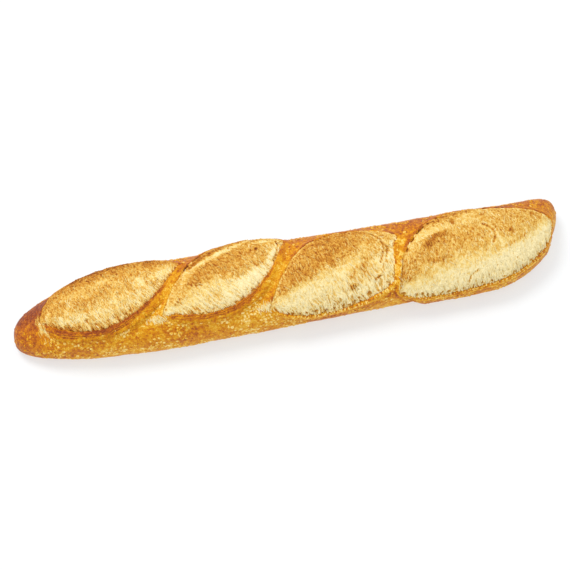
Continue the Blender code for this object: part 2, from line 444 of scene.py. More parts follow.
# %% Closing the skin
def loft(rings, lines, first_tip, last_tip):
    """Faces of a lofted skin of closed rings, with a fan to a point at each end, and a UV for each corner."""
    faces, uv = [], []
    at_u, at_v = np.linspace(0.004, 0.996, rings), np.linspace(0, 1, lines + 1)
    for i in range(rings - 1):
        for j in range(lines):
            k = (j + 1) % lines
            faces.append((i * lines + j, i * lines + k, (i + 1) * lines + k, (i + 1) * lines + j))
            uv += [(at_u[i], at_v[j]), (at_u[i], at_v[j + 1]), (at_u[i + 1], at_v[j + 1]), (at_u[i + 1], at_v[j])]
    for j in range(lines):
        k, base = (j + 1) % lines, (rings - 1) * lines
        faces.append((first_tip, k, j))
        uv += [(0, at_v[j]), (at_u[0], at_v[j + 1]), (at_u[0], at_v[j])]
        faces.append((last_tip, base + j, base + k))
        uv += [(1, at_v[j]), (at_u[-1], at_v[j]), (at_u[-1], at_v[j + 1])]
    return faces, uv


# Blisters rise in clusters on the open skin, but not where it was stretched next to a score.
crop = smooth(-0.3, 0.6, noise(skin, 0.014, 33)) * smooth(0.0025, 0.006, masks["edge"]) * (1 - masks["inside"])
crop *= smooth(0.72, 0.60, np.abs(grid_share)) * (1 - 0.8 * smooth(-0.185, -0.20, grid_x))
tips = skin.reshape(RINGS, lines, 3)[[0, -1]].mean(axis=1)
tips[:, 0] = -LENGTH / 2, LENGTH / 2
tip_tone = tone.reshape(RINGS, lines)[[0, -1]].mean(axis=1)
faces, uv = loft(RINGS, lines, len(skin), len(skin) + 1)
crust = add_mesh(
    "crust", np.concatenate([skin, tips]) + [0, SHIFT_Y, 0], faces,
    {"tone": np.append(tone, tip_tone), "crop": np.append(crop, [0, 0]), "smear": np.append(masks["start"], [0, 0])}, uv,
)
pull = on_loaf(grid_x + 0.0003, grid_s + 0.0010)[0] - on_loaf(grid_x - 0.0003, grid_s - 0.0010)[0]
add_pull(crust, np.concatenate([pull, np.zeros((2, 3))]))

# %% [markdown]
# ## The crumb that burst out
#
# Under the crust the dough is wet, and it rises after the skin has set. Where the blade opened the skin, the
# crumb pushes out as a cushion, drawn into threads across the cut, with bubbles torn open along the front
# edge. Its highest part catches the heat and toasts. Each cushion is a closed lens on the leaf's own (u, v)
# grid, so the threads, the bubbles and the toasted patches can be set down in the leaf's own directions.

# %% What each score shows
# First the plain tone of its crumb and how much its threads lean, then patches, toasted, pale or of painted
# shade: place along the leaf (share) and across it (mm to the front), half sizes, slant, tone.
CRUMB_TONES = (0.40, 0.29, 0.25, 0.27)
LEANS = (-0.35, -0.40, -0.08, 0.05)
# How much browner the heat from above made the whole cushion: its front, and its back, which lies higher.
HEAT = ((0.08, 0.16), (-0.01, 0.15), (0.04, 0.08), (-0.09, 0.13))
TOAST_AND_SHADE = (
    (
        (0.50, -21, 0.55, 8.5, 0, 0.70), (0.45, -12, 0.26, 3.8, 0, 0.50), (0.84, -9, 0.07, 4.5, 20, 0.60),
        (0.26, -4.5, 0.14, 4.5, 0, 0.30), (0.46, -6, 0.07, 3.0, 0, 0.27), (0.405, 3.5, 0.05, 1.6, 0, 0.46),
        # The first score's patch at 0.16 and 16 mm is painted shade over the row of torn bubbles by its front edge.
        (0.16, -1, 0.05, 3, 0, 0.42), (0.61, 0, 0.10, 3.6, 0, 0.38), (0.50, 16, 0.30, 6.5, 0, 0.27), (0.16, 16, 0.09, 2.6, 25, 0.66),
        (0.20, 9, 0.10, 3.5, 20, 0.25), (0.71, 5.5, 0.04, 4.5, 0, 0.10), (0.765, 6, 0.025, 2.2, 0, 0.48),
        (0.87, 4.5, 0.09, 3.6, -20, 0.20), (0.03, 1, 0.04, 5, 0, 0.08), (0.95, -2.5, 0.05, 2.2, 0, 0.45),
    ),
    (
        (0.50, -20, 0.22, 3.6, -4, 0.60), (0.74, -16, 0.12, 4.5, 30, 0.55), (0.56, -5.0, 0.30, 7.0, 14, 0.47),
        (0.70, 5, 0.18, 7, 10, 0.52), (0.38, -7, 0.12, 5.5, 0, 0.44), (0.28, -5.5, 0.03, 1.5, 30, 0.58),
        (0.325, -2.8, 0.02, 1.5, 0, 0.54), (0.54, -15.0, 0.32, 2.2, 6, 0.08), (0.87, -6, 0.07, 1.5, 40, 0.16),
        (0.745, -3.2, 0.013, 1.0, 0, 0.85), (0.78, -2, 0.012, 1.0, 0, 0.85), (0.585, 7, 0.03, 1.8, 40, 0.58),
        (0.62, 15.5, 0.18, 4.6, 0, 0.02), (0.205, 10, 0.035, 2.4, 0, 0.45), (0.26, -11, 0.13, 1.7, -35, 0.22),
        (0.05, 0, 0.05, 4, 0, 0.12), (0.86, 7.5, 0.07, 2.0, -45, 0.12), (0.95, 1, 0.04, 2.6, 0, 0.48),
    ),
    (
        (0.50, -22, 0.42, 7, 0, 0.53), (0.34, -12, 0.25, 8.5, -12, 0.50), (0.29, -7, 0.11, 3.4, -6, 0.50),
        (0.64, -12, 0.22, 9.5, 0, 0.53), (0.84, -8, 0.12, 8, 20, 0.42), (0.51, -3.5, 0.028, 3.4, 0, 0.55),
        (0.12, -4, 0.08, 3.5, -45, 0.48), (0.25, 6, 0.23, 6, 20, 0.10), (0.45, 8, 0.14, 6, 0, 0.16),
        (0.56, 18, 0.05, 2.2, 0, 0.52), (0.66, 10, 0.09, 4.5, -10, 0.44), (0.76, 4, 0.10, 3.5, 0, 0.40),
        (0.424, 21.5, 0.02, 1.3, 0, 0.50), (0.60, 25, 0.14, 4, 0, 0.12), (0.735, 21, 0.03, 0.9, -30, 0.64),
        (0.84, 14, 0.05, 8, 0, 0.27), (0.86, 3, 0.08, 7, 0, 0.40), (0.05, 7, 0.05, 5, 0, 0.02), (0.93, -2, 0.05, 4, 30, 0.40),
    ),
    (
        (0.46, -43.5, 0.38, 4, 0, 0.52), (0.80, -24, 0.14, 8, 60, 0.38), (0.55, -14, 0.33, 10, 0, 0.34),
        (0.36, -20, 0.14, 5, 0, 0.42), (0.17, -19, 0.10, 4.5, 0, 0.38), (0.64, -26, 0.14, 4, 0, 0.34),
        (0.30, -33, 0.18, 2.8, 0, 0.18), (0.53, -31.5, 0.09, 2.6, 0, 0.26), (0.34, -28, 0.085, 2.1, 6, 0.62),
        (0.27, -24.5, 0.045, 3.0, 0, 0.64), (0.27, -12, 0.06, 1.5, 25, 0.54), (0.82, -9, 0.14, 6, 10, 0.36),
        (0.73, -10.5, 0.015, 1.8, 0, 0.60), (0.72, -1.8, 0.09, 1.8, 0, 0.44), (0.79, -1, 0.02, 1.8, 0, 0.46),
        (0.72, 7.5, 0.27, 6.0, 0, 0.05), (0.07, -11, 0.06, 5, 0, 0.44), (0.04, -2, 0.05, 4, 0, 0.12), (0.20, 2, 0.22, 6, 0, 0.16), (0.44, 6, 0.045, 1.9, 0, 0.40),
        (0.655, -8, 0.012, 5, -60, 0.18),
    ),
)
# Torn bubbles: place along (share) and across, radius along and across, depth, all in mm.
BUBBLES = (
    (
        (0.091, 10.2, 0.9, 1.3, 1.4), (0.114, 12.3, 1.1, 1.3, 1.7), (0.148, 13.5, 1.1, 1.4, 1.6),
        (0.175, 14.3, 1.2, 1.5, 1.9), (0.187, 16, 1.0, 1.0, 1.5), (0.229, 17.7, 1.2, 1.4, 1.9),
        (0.294, 16.0, 1.6, 1.5, 2.2), (0.343, 20.6, 0.9, 1.0, 1.5), (0.42, 21.9, 1.0, 0.9, 1.5),
        (0.462, 22.3, 0.8, 0.8, 1.3), (0.508, 22.7, 0.9, 0.8, 1.3), (0.554, 23.1, 1.0, 0.8, 1.3),
        (0.59, 21.9, 1.0, 1.6, 2.0), (0.642, 19.8, 0.7, 0.7, 1.0), (0.40, -9.4, 1.1, 0.8, 1.2), (0.045, -0.5, 0.6, 3.0, 1.2),
    ),
    (
        (0.378, -18.6, 3.0, 1.6, 3.0), (0.335, -17.6, 2.0, 0.9, 2.0), (0.415, -19.2, 2.2, 1.1, 2.2), (0.50, -18.2, 1.0, 1.6, 1.7),
        (0.525, -19, 0.7, 1.8, 1.6), (0.554, -19, 0.7, 2.0, 1.8), (0.59, -19, 0.9, 2.2, 2.0), (0.634, -15.3, 1.0, 0.9, 1.4),
        (0.66, -13.2, 1.1, 0.9, 1.5), (0.72, -11.6, 0.9, 0.7, 1.2), (0.755, -10.2, 0.9, 0.7, 1.2), (0.79, -8.6, 0.8, 0.7, 1.2),
        (0.137, -1, 0.9, 0.9, 1.3), (0.156, -1.9, 0.9, 0.8, 1.3), (0.11, -0.6, 0.7, 0.7, 1.0), (0.049, -1.9, 0.8, 0.8, 1.1),
        (0.072, 5.2, 1.8, 2.0, 1.9), (0.10, 6.9, 1.0, 1.1, 1.5), (0.874, 9.4, 1.7, 0.6, 1.3), (0.855, 11, 1.5, 0.6, 1.2),
        (0.32, 16.5, 1.1, 0.9, 1.4), (0.47, 21.5, 1.2, 1.0, 1.4), (0.53, 21.8, 1.3, 1.1, 1.5), (0.60, 21.3, 1.2, 1.0, 1.4),
        (0.66, 19.8, 1.0, 1.0, 1.3), (0.245, 14.6, 1.0, 0.8, 1.3),
    ),
    (
        (0.60, -23, 2.7, 1.5, 2.2), (0.69, -20.5, 2.8, 1.2, 2.2), (0.64, -22.5, 1.6, 0.7, 1.4), (0.534, -24.7, 1.2, 0.9, 1.4),
        (0.919, -4.7, 1.6, 0.9, 1.5), (0.873, 8, 1.6, 1.4, 1.6), (0.736, 21.3, 2.6, 0.7, 1.4), (0.035, 9.8, 1.9, 2.3, 2.4),
        (0.088, 11.9, 1.3, 1.6, 2.0), (0.118, 13.4, 1.2, 1.4, 1.8), (0.16, 16, 1.0, 1.2, 1.6), (0.20, 17.7, 1.0, 1.2, 1.6),
        (0.26, 20.0, 1.8, 1.3, 2.2), (0.325, 23.4, 1.9, 1.5, 2.4), (0.38, 25.2, 1.1, 1.2, 1.6), (0.44, 27.0, 1.1, 1.2, 1.6),
        (0.48, 28.4, 1.6, 1.5, 2.2), (0.508, 29.2, 1.7, 1.5, 2.4), (0.523, 28.1, 0.8, 1.6, 1.8), (0.553, 27.2, 0.8, 1.5, 1.6),
        (0.585, 27, 0.8, 1.5, 1.6), (0.633, 28.2, 2.3, 2.1, 2.8), (0.70, 29.6, 0.9, 0.9, 1.3), (0.77, 27.5, 1.0, 0.8, 1.2),
    ),
    (
        (0.457, -35.5, 2.6, 2.6, 6.0), (0.635, -32, 2.2, 1.3, 2.2), (0.90, -13, 1.3, 1.3, 1.6), (0.40, -36.5, 1.0, 0.9, 1.3),
        (0.345, -37.5, 1.0, 0.8, 1.2), (0.62, -35.5, 0.9, 0.8, 1.2), (0.78, -25.5, 1.2, 0.9, 1.3), (0.19, -34, 0.9, 0.9, 1.2),
        (0.025, 1.6, 2.1, 1.6, 2.4), (0.09, 5.4, 1.7, 1.5, 2.2), (0.126, 6.2, 1.6, 1.7, 2.2), (0.158, 8.0, 1.2, 1.2, 1.8),
        (0.19, 9.6, 1.1, 1.1, 1.6), (0.23, 11.4, 1.2, 1.2, 1.8), (0.265, 12.4, 2.0, 1.4, 2.4), (0.315, 13.5, 2.1, 1.4, 2.4),
        (0.36, 14.7, 1.2, 1.2, 1.8), (0.42, 15.7, 1.1, 1.1, 1.7), (0.47, 16.4, 1.1, 1.0, 1.6), (0.53, 17.1, 1.4, 1.2, 1.8),
        (0.60, 17.8, 1.2, 1.1, 1.6), (0.66, 17.6, 1.4, 1.1, 1.7), (0.72, 16.8, 1.2, 1.1, 1.6), (0.78, 15.6, 1.4, 1.1, 1.6),
        (0.84, 14.8, 1.0, 0.9, 1.3), (0.90, 12.4, 1.1, 0.9, 1.3),
    ),
)


def pits(a, v, holes):
    """Depth of the torn bubbles at each point, in metres, and how far inside one it is, 0 to 1."""
    depth, shaded_pit = np.zeros(len(a)), np.zeros(len(a))
    for along, across, wide, tall, deep in holes:
        reach = np.hypot((a - along) / wide, (v - across) / tall)
        hollow = smooth(1.35, 0.45, reach)
        depth = np.maximum(depth, deep * hollow)
        shaded_pit = np.maximum(shaded_pit, hollow)
    return depth, shaded_pit


def small_bubbles(leaf, seed, count=64):
    """A seeded sprinkle of small bubbles, thickest near the front edge and along the back."""
    rng = np.random.default_rng(seed)
    found = []
    while len(found) < count:
        u, w = rng.uniform(0.05, 0.95), rng.uniform(-0.95, 0.97)
        if rng.uniform() < 0.02 + 0.98 * max(0, w) ** 8 + 0.04 * max(0, -w) ** 4:
            wide = belly(u, leaf.score["front" if w > 0 else "back"])
            size = rng.uniform(0.25, 0.60)
            found.append((u * leaf.long / MM, w * wide / MM, size * rng.uniform(0.7, 1.1), size, size))
    return found


# %% One cushion of crumb
CARRIED = 0.75
UNDER = 6
# Where the crust split off the back of the cushion: share along, half length, strength of the dip and its painted
# shade.
CRACKS = ((0.5, 0.1, 0.0), (0.40, 0.12, 1.3), (0.64, 0.12, 1.4), (0.28, 0.22, 1.4))
# Where the cushion sank behind its lip: share along, half length, depth in mm.
SAGS = (((0.16, 0.12, 1.5),), ((0.57, 0.16, 1.4), (0.08, 0.05, 0.8)), ((0.60, 0.10, 1.1), (0.06, 0.05, 0.8)), ((0.50, 0.06, 0.6),))
DROPS = (1.9, 1.9, 0.6, 0.4)   # how far each cushion rolls down at its front edge, mm
# GAPS also sets how dark the painted shade in the gaps between those threads is.
GAPS = (0.5, 0.6, 0.6, 0.7)    # how open the fringe of threads along that edge is
STRONG = (0.45, 0.62, 1.00, 1.30)   # how much stronger the threads are there
WORMY = (0.16, 0.18, 0.22, 0.30)    # how strong the crackle is where the crumb toasted

# How far the back of each cushion is as brown as the crust beside it: strength, and over what width.
MERGED = ((0.95, 0.0080), (0.70, 0.0026), (0.80, 0.0034), (0.60, 0.0024))


# Wrinkles: points along (share) and across (mm), and how strong, in depth and in painted shade and highlight.
WRINKLES = (
    (), ((((0.90, -8), (0.94, -2), (0.93, 3), (0.89, 7.5), (0.83, 12)), 1.1),),
    ((((0.855, -11), (0.885, -3), (0.87, 5), (0.80, 13)), 1.0), (((0.89, 1), (0.885, 7), (0.85, 12)), 0.7)),
    ((((0.60, -24), (0.635, -19), (0.64, -12), (0.61, -8)), 1.1), (((0.40, 11), (0.425, 7.5), (0.47, 6)), 1.2)),
)


def crumb(number, leaf, stations=330, across=152):
    """A closed cushion of crumb that fills one score."""
    u_lines = np.linspace(0.004, 0.996, stations)
    w_lines = np.concatenate([np.linspace(-1, 1, across), np.linspace(0.8, -0.8, UNDER)])
    u, w = (g.ravel() for g in np.meshgrid(u_lines, w_lines, indexing="ij"))
    under = np.tile(np.arange(len(w_lines)) >= across, stations)
    front_side, back_side = belly(u, leaf.score["front"]), belly(u, leaf.score["back"])
    v = np.where(w > 0, w * front_side, w * (back_side + 0.0006 * smooth(0, 0.1, u) * smooth(1, 0.9, u)))
    spots = leaf.place(u, v)
    torn = ragged(spots)
    base = np.zeros(len(u))
    for other in LEAVES:
        ou, ov, opened, inside, front, back = other.read(torn)
        edge = np.minimum(front, back)
        gap = np.where(inside, edge, -edge)
        base += other.swell(ov, opened, gap)
        if other is leaf:
            fronting, front_gap, back_gap, own_gap = other.fronting(ou, front, back), front, back, gap
    # The lip carries the crumb beside it up with it. At the back the cushion only meets the skin.
    ends = smooth(0.0, 0.14, u) * smooth(1.0, 0.90, u)
    base += leaf.score["lip"][0] * CARRIED * ends * smooth(0.014, 0, front_gap)
    deep, wide = -0.0003 + DROPS[number] * MM * fronting, 0.0010 + 0.0010 * fronting
    rolled = 1 - np.clip(own_gap / wide, 0, 1)
    rim = -deep * (1 - np.sqrt(np.maximum(1 - rolled ** 2, 0))) + np.minimum(own_gap, 0) * 0.8
    sag = sum(-deep * MM * np.exp(-((u - at) / half) ** 2) for at, half, deep in SAGS[number]) * np.exp(-front_gap / 0.0035)
    # Threads run across the cut; they wander, and are stronger near the front.
    flat = np.concatenate([spots, np.zeros((len(u), 1))], axis=1)
    drift = 0.0016 * noise(flat, 0.013, 61 + number) + 0.0004 * noise(flat, 0.004, 65 + number)
    along = u * leaf.long + drift + LEANS[number] * v
    near_front = smooth(-0.2, 0.9, w)
    bend = 0.0016 * noise(flat, 0.0045, 69 + number)
    threads = ridges(along, v, 0.0020, 0.0100, 71 + number)
    hairs = ridges(along + 0.25 * v, v, 0.0013, 0.0065, 73 + number)
    curly = ridges(along + bend, v - bend, 0.0018, 0.0031, 77 + number)
    worms = ridges(along - bend, v + bend, 0.0013, 0.0024, 78 + number)
    cords = stretched(along, v, 0.0020, 0.0070, 75 + number)
    folds = stretched(along, v, 0.0062, 0.019, 79 + number)
    grain = noise(flat, 0.0016, 83 + number, 2)
    lumps = noise(flat, 0.0075, 87 + number, 2)
    drawn = smooth(-0.1, 0.75, w)
    strands = np.maximum(threads, 0.85 * hairs) * drawn + np.maximum(curly, 0.8 * hairs) * (1 - drawn)
    strands = (strands + 0.45 * cords * (0.4 + 0.6 * drawn) - 0.42) * (0.66 + STRONG[number] * near_front)
    calm = 0.20 + 0.80 * smooth(-0.96, -0.5, w)
    hollow, shaded_pit = pits(
        along / MM - LEANS[number] * v / MM, v / MM,
        [(b[0] * leaf.long / MM, *b[1:]) for b in BUBBLES[number]] + small_bubbles(leaf, 100 + number),
    )
    tone = painted(np.full(len(u), CRUMB_TONES[number]), u, v / MM, TOAST_AND_SHADE[number], flat)
    front_heat, back_heat = HEAT[number]
    tone += front_heat + (back_heat - front_heat) * smooth(0.35, -0.45, w)
    # Between the last threads the groove shows, darkened with painted shade.
    shaded_gaps = smooth(-0.05, 0.45, stretched(along, v, 0.0011, 0.014, 99 + number)) * GAPS[number]
    shaded_gaps *= smooth(0.0034, 0.0004, front_gap) * ends
    top = (
        base + rim + sag - 0.0007 * shaded_gaps
        + 0.0005 * smooth(0.35, 0.60, tone)
        + calm * (0.00048 * strands + 0.00045 * folds + 0.00040 * lumps + 0.00022 * grain)
        - 0.55 * hollow * MM * smooth(0, 0.0015, own_gap)
    )
    for line, strong in WRINKLES[number]:
        line = np.array(line) * [leaf.long, MM]
        dots = np.concatenate([np.linspace(a, b, 24) for a, b in zip(line[:-1], line[1:])])
        away = nearest(np.stack([u * leaf.long + 0.4 * drift, v], -1), dots)
        crease = strong * np.exp(-(away / 0.0008) ** 2)
        top -= 0.0006 * crease
        # Painted shade in the wrinkle, and a painted highlight on the ridge just beside it.
        tone += 0.24 * crease - 0.12 * strong * np.exp(-((away - 0.0016) / 0.0008) ** 2)
    at, half, strong = CRACKS[number]
    split = strong * np.exp(-((u - at) / half) ** 4) * smooth(-0.4, 0.3, noise(flat, 0.006, 95 + number))
    behind_it = (v < 0) * np.exp(-((own_gap - 0.0006) / 0.0007) ** 2)
    top -= 0.0012 * split * behind_it
    height = np.where(under, base - 0.0075, top)
    point, out = on_loaf(spots[:, 0], spots[:, 1])
    ahead, _ = on_loaf(*leaf.place(u, v + 0.0005).T)
    behind, _ = on_loaf(*leaf.place(u, v - 0.0005).T)
    point = point + out * height[:, None]
    speckle = smooth(0.10, 0.75, noise(flat, 0.0017, 91 + number, 2)) * smooth(0.30, 0.5, tone)
    browned, reach = MERGED[number]
    merged = browned * smooth(reach, 0, own_gap + 0.0012 * noise(flat, 0.003, 97 + number, 2)) * (1 - fronting)
    tone += (0.58 - tone) * merged
    baking = smooth(0.28, 0.5, tone)
    # The raised threads are painted paler and the hollows between them darker: partly the crumb's own colour, partly
    # painted light and shade of the relief.
    tone += 0.05 * lumps + 0.06 * grain + 0.06 * speckle - (0.27 + 0.12 * baking) * strands
    tone += baking * (0.04 + WORMY[number] * (worms - 0.35))
    # Painted shade along the front edge of the first two cushions, and in the gaps between the last threads.
    tone += 0.08 * (number < 2) * fronting * np.exp(-np.maximum(own_gap, 0) / 0.0012) + 0.50 * shaded_gaps
    # Painted shade in the split behind the cushion; along the rest of the back edge it is a little paler.
    tone += behind_it * (0.65 * split - 0.20 * (1 - split) * (number > 0))
    # Painted shade inside the torn bubbles.
    tone += (0.70 - tone) * 0.85 * shaded_pit
    crop = (0.25 + 0.75 * near_front) * (1 - shaded_pit) * smooth(0.0004, 0.002, own_gap) * ~under
    crop *= smooth(-0.96, -0.72, w)
    rings = stations, len(w_lines)
    ends = point.reshape(*rings, 3)[[0, -1]].mean(axis=1)
    end_tone = tone.reshape(rings)[[0, -1]].mean(axis=1)
    faces, uv = loft(*rings, len(point), len(point) + 1)
    piece = add_mesh(
        f"grigne_{number + 1}", np.concatenate([point, ends]) + [0, SHIFT_Y, 0], faces,
        {"tone": np.append(tone, end_tone), "crop": np.append(crop, [0, 0])}, uv,
    )
    add_pull(piece, np.concatenate([ahead - behind, np.zeros((2, 3))]))
    return piece


crumbs = [crumb(number, leaf) for number, leaf in enumerate(LEAVES)]

# %% [markdown]
# ## The lips
#
# Along the front of each score the blade ran shallow and left a thin edge of crust. It dried first, curled
# over the groove and burned a little, and behind it the skin folded into creases. That band is only a few
# millimetres wide, so it gets a strip of its own, fine enough for the creases, closed all round and laid
# over the skin; its outer edge dives under the skin, and its tone is the skin's own there.

# %% One lip along the front edge of each score
LIP_WIDE = (0.0070, 0.0056, 0.0084, 0.0084)
# Creases in each lip: distance from the edge in mm, half width, depth in mm, painted shade (below 0, a highlight).
FOLDS = (
    ((1.9, 0.45, -0.35, -0.24), (3.2, 0.60, 0.45, 0.14)), ((1.2, 0.75, 0.50, 0.50), (3.0, 0.60, 0.42, 0.22)),
    ((1.6, 1.4, -0.30, 0.0), (4.8, 0.8, 0.45, 0.36), (6.4, 0.9, 0.35, 0.44)),
    ((0.8, 0.6, 0.40, 0.40), (2.6, 0.8, -0.30, 0.0), (4.8, 0.7, 0.45, 0.20), (6.6, 0.7, 0.30, 0.10)),
)
CURLS = (0.6, 0.6, 0.22, 0.22)
LIP_ENDS = (0.86, 0.76, 0.90, 0.91)   # where along the score each lip dies out
# How brown the lip is next to the cut, how far out that reaches in mm, and how strong the painted highlight along its
# very rim is.
BANDS = ((0.88, 5.4, 0.0), (0.68, 3.0, 0.2), (0.30, 3.4, 0.3), (0.28, 3.6, 0.0))


def lip(number, leaf, stations=460):
    """The strip of crust along the front edge of one score."""
    u = np.linspace(0.02, 0.98, stations)
    edge = leaf.place(u, belly(u, leaf.score["front"]))
    edge = 2 * edge - ragged(edge)
    into = np.gradient(edge, axis=0)[:, ::-1] * [1, -1]
    into /= np.linalg.norm(into, axis=1, keepdims=True)
    into *= np.sign(np.sum(into * -leaf.across, axis=1))[:, None]
    strong = smooth(0, 0.14, u) * smooth(LIP_ENDS[number] + 0.08, LIP_ENDS[number] - 0.08, u)
    wander = np.concatenate([edge, np.zeros((stations, 1))], axis=1)
    curl = CURLS[number] * strong * np.clip(0.8 + 0.6 * noise(wander, 0.008, 201 + number) + 0.4 * noise(wander, 0.002, 205), 0.1, 1.6)
    level = crust_relief(edge - into * 0.0003)[0]
    slim = narrowed(u, number)
    wide = LIP_WIDE[number] * (0.35 + 0.65 * strong)
    # Underside first, then over the curled edge and out to the skin.
    loop = [(-0.96, -1.4), (-0.5, -1.4), (0.0, -1.9), (0.05, -1.0), (0.09, -0.45)]
    share = np.linspace(0.13, -1, 42)
    rings, tones = [], []
    for across, up in loop:
        spot = edge + into * (across * wide)[:, None]
        point, out = on_loaf(*spot.T)
        rings.append(point + out * (level + up * MM)[:, None])
        tones.append(np.full(stations, 0.5))
    for across in share:
        inward = across * wide if across < 0 else across * 0.0060 * curl
        spot = edge + into * np.reshape(inward, (-1, 1))
        away = np.maximum(-inward, 0) / MM / slim
        if across < 0:
            height, masks = crust_relief(spot)
            point, out, height = skin_height(*spot.T, height, masks)
        else:
            _, masks = crust_relief(edge - into * 0.0003)
            point, out, height = skin_height(*spot.T, level, masks)
        flat = np.concatenate([spot, np.zeros((stations, 1))], axis=1)
        wobble = 0.5 * noise(wander, 0.012, 211 + number) + 0.2 * noise(wander, 0.004, 215 + number)
        wobble *= 1.0 if number < 2 else 2.0
        dark, fold = np.zeros(stations), np.zeros(stations)
        for at, half, deep, fold_shading in FOLDS[number]:
            crease = np.exp(-((away - at - wobble) / half) ** 2) * strong
            fold, dark = fold + deep * crease, dark + fold_shading * crease
        grit = noise(flat, 0.0016, 221, 2) * (1.0 if number < 2 else 3.0)
        shape = 0.45 * curl * np.exp(-(away / 0.7) ** 2) * (1 - smooth(0, 0.13, across) ** 2) + 0.10 * grit
        cover = 0.22 - 0.75 * smooth(-0.82, -1, across)
        height = height + (shape - fold + cover) * MM
        tone = crust_tone(*spot.T, point, masks)
        stripes = lattice_noise(np.stack([u * leaf.long / 0.0012, away / 5, np.full(stations, 9.1)], -1), 231)
        near, reach, pale = BANDS[number]
        tone += (near - tone) * 0.85 * strong * smooth(1.1 * reach, 0.6 * reach, away - 0.6 * wobble)
        patchy = 0.75 + 0.45 * stripes if number < 2 else np.clip(0.55 + 1.3 * stripes, 0, 1.5)
        # The folds' painted shade, and on the first lip a painted highlight on its raised fold, patchy along the lip.
        tone += dark * patchy * (1 - 0.5 * smooth(0.74, 0.9, u) * (number < 2)) + 0.09 * grit
        # A painted highlight along the very rim of the lip.
        tone += (0.34 - tone) * pale * np.exp(-(away / 0.5) ** 2) * (1 - 0.3 * stripes)
        # The last threads of crumb hang over the rim, painted pale, with painted shade in the gaps between them.
        teeth = lattice_noise(np.stack([u * leaf.long / 0.0010, away / 8, np.full(stations, 5.7)], -1), 241 + number)
        fringe_and_shade = (number > 1) * strong * np.exp(-(away / (1.3 + 0.8 * wobble)) ** 2)
        tone += fringe_and_shade * ((0.10 - tone) * smooth(0, 0.3, teeth) + 0.8 * (0.74 - tone) * smooth(0, -0.3, teeth))
        rings.append(point + out * height[:, None])
        tones.append(tone)
    points, tones = np.stack(rings, 1), np.stack(tones, 1)
    lines = points.shape[1]
    faces, uv = loft(stations, lines, stations * lines, stations * lines + 1)
    return add_mesh(
        f"lip_{number + 1}", np.concatenate([points.reshape(-1, 3), points[[0, -1]].mean(axis=1)]) + [0, SHIFT_Y, 0],
        faces, {"tone": np.append(tones.ravel(), tones[[0, -1]].mean(axis=1))}, uv,
    )


lips = [lip(number, leaf) for number, leaf in enumerate(LEAVES)]

# %% [markdown]
# ## Materials
#
# Crust and crumb brown along a ramp, from cream through gold to dark brown. The amount of browning, and the
# painted shade and highlights in creases, cracks, bubbles and folds, was worked out point by point with the
# shape; the shaders only add what is finer than the mesh. What both share, the mottling, is one node group.

# %% Helpers for shader nodes
def colour(red, green, blue):
    """A linear colour from 0 to 255 display values."""
    def line(value):
        value /= 255
        return value / 12.92 if value <= 0.04045 else ((value + 0.055) / 1.055) ** 2.4
    return (line(red), line(green), line(blue), 1)


def node(tree, kind, inputs=(), **settings):
    """A node with its settings, and with each input set to a value or joined to a socket."""
    made = tree.nodes.new(kind)
    for key, value in settings.items():
        setattr(made, key, value)
    for key, value in dict(inputs).items():
        socket = made.inputs[key]
        if isinstance(value, bpy.types.NodeSocket):
            tree.links.new(value, socket)
        else:
            socket.default_value = value
    return made


def maths(tree, operation, a, b, c=None):
    inputs = {0: a, 1: b} if c is None else {0: a, 1: b, 2: c}
    return node(tree, "ShaderNodeMath", inputs, operation=operation).outputs[0]


def new_group(name, inputs, outputs):
    """An empty shader group with its sockets: (name, type, default) in, (name, type) out."""
    tree = bpy.data.node_groups.new(name, "ShaderNodeTree")
    for label, kind, default in inputs:
        tree.interface.new_socket(label, in_out="INPUT", socket_type=kind).default_value = default
    for label, kind in outputs:
        tree.interface.new_socket(label, in_out="OUTPUT", socket_type=kind)
    return tree, tree.nodes.new("NodeGroupInput").outputs, tree.nodes.new("NodeGroupOutput").inputs


# %% Mottling, shared by crust and crumb
def mottle_group():
    """Tone in, tone out: blotches, spots and fine grain over it, and a height for the finest bumps."""
    tree, into, out = new_group(
        "mottle",
        [("Tone", "NodeSocketFloat", 0.4), ("Blotch", "NodeSocketFloat", 0.1), ("Spot", "NodeSocketFloat", 0.1),
         ("Grain", "NodeSocketFloat", 0.05), ("Size", "NodeSocketFloat", 1.0)],
        [("Tone", "NodeSocketFloat"), ("Height", "NodeSocketFloat")],
    )
    at = node(tree, "ShaderNodeTexCoord").outputs["Object"]
    total = into["Tone"]
    for scale, detail, strength in ((110, 3, "Blotch"), (330, 3, "Spot"), (1100, 2, "Grain")):
        size = maths(tree, "MULTIPLY", into["Size"], scale)
        field = node(tree, "ShaderNodeTexNoise", {"Vector": at, "Scale": size, "Detail": detail, "Roughness": 0.62})
        swing = maths(tree, "MULTIPLY_ADD", field.outputs["Fac"], 4.0, -2.0)
        total = maths(tree, "MULTIPLY_ADD", swing, into[strength], total)
    tree.links.new(total, out["Tone"])
    tree.links.new(field.outputs["Fac"], out["Height"])
    return tree


def ramp_group(name, stops):
    """Tone in, colour out."""
    tree, into, out = new_group(name, [("Tone", "NodeSocketFloat", 0.4)], [("Color", "NodeSocketColor")])
    ramp = node(tree, "ShaderNodeValToRGB", {"Fac": into["Tone"]})
    ramp.color_ramp.interpolation = "LINEAR"
    for place, shade in stops[1:-1]:
        ramp.color_ramp.elements.new(place).color = colour(*shade)
    ramp.color_ramp.elements[0].color = colour(*stops[0][1])
    ramp.color_ramp.elements[-1].color = colour(*stops[-1][1])
    tree.links.new(ramp.outputs["Color"], out["Color"])
    return tree


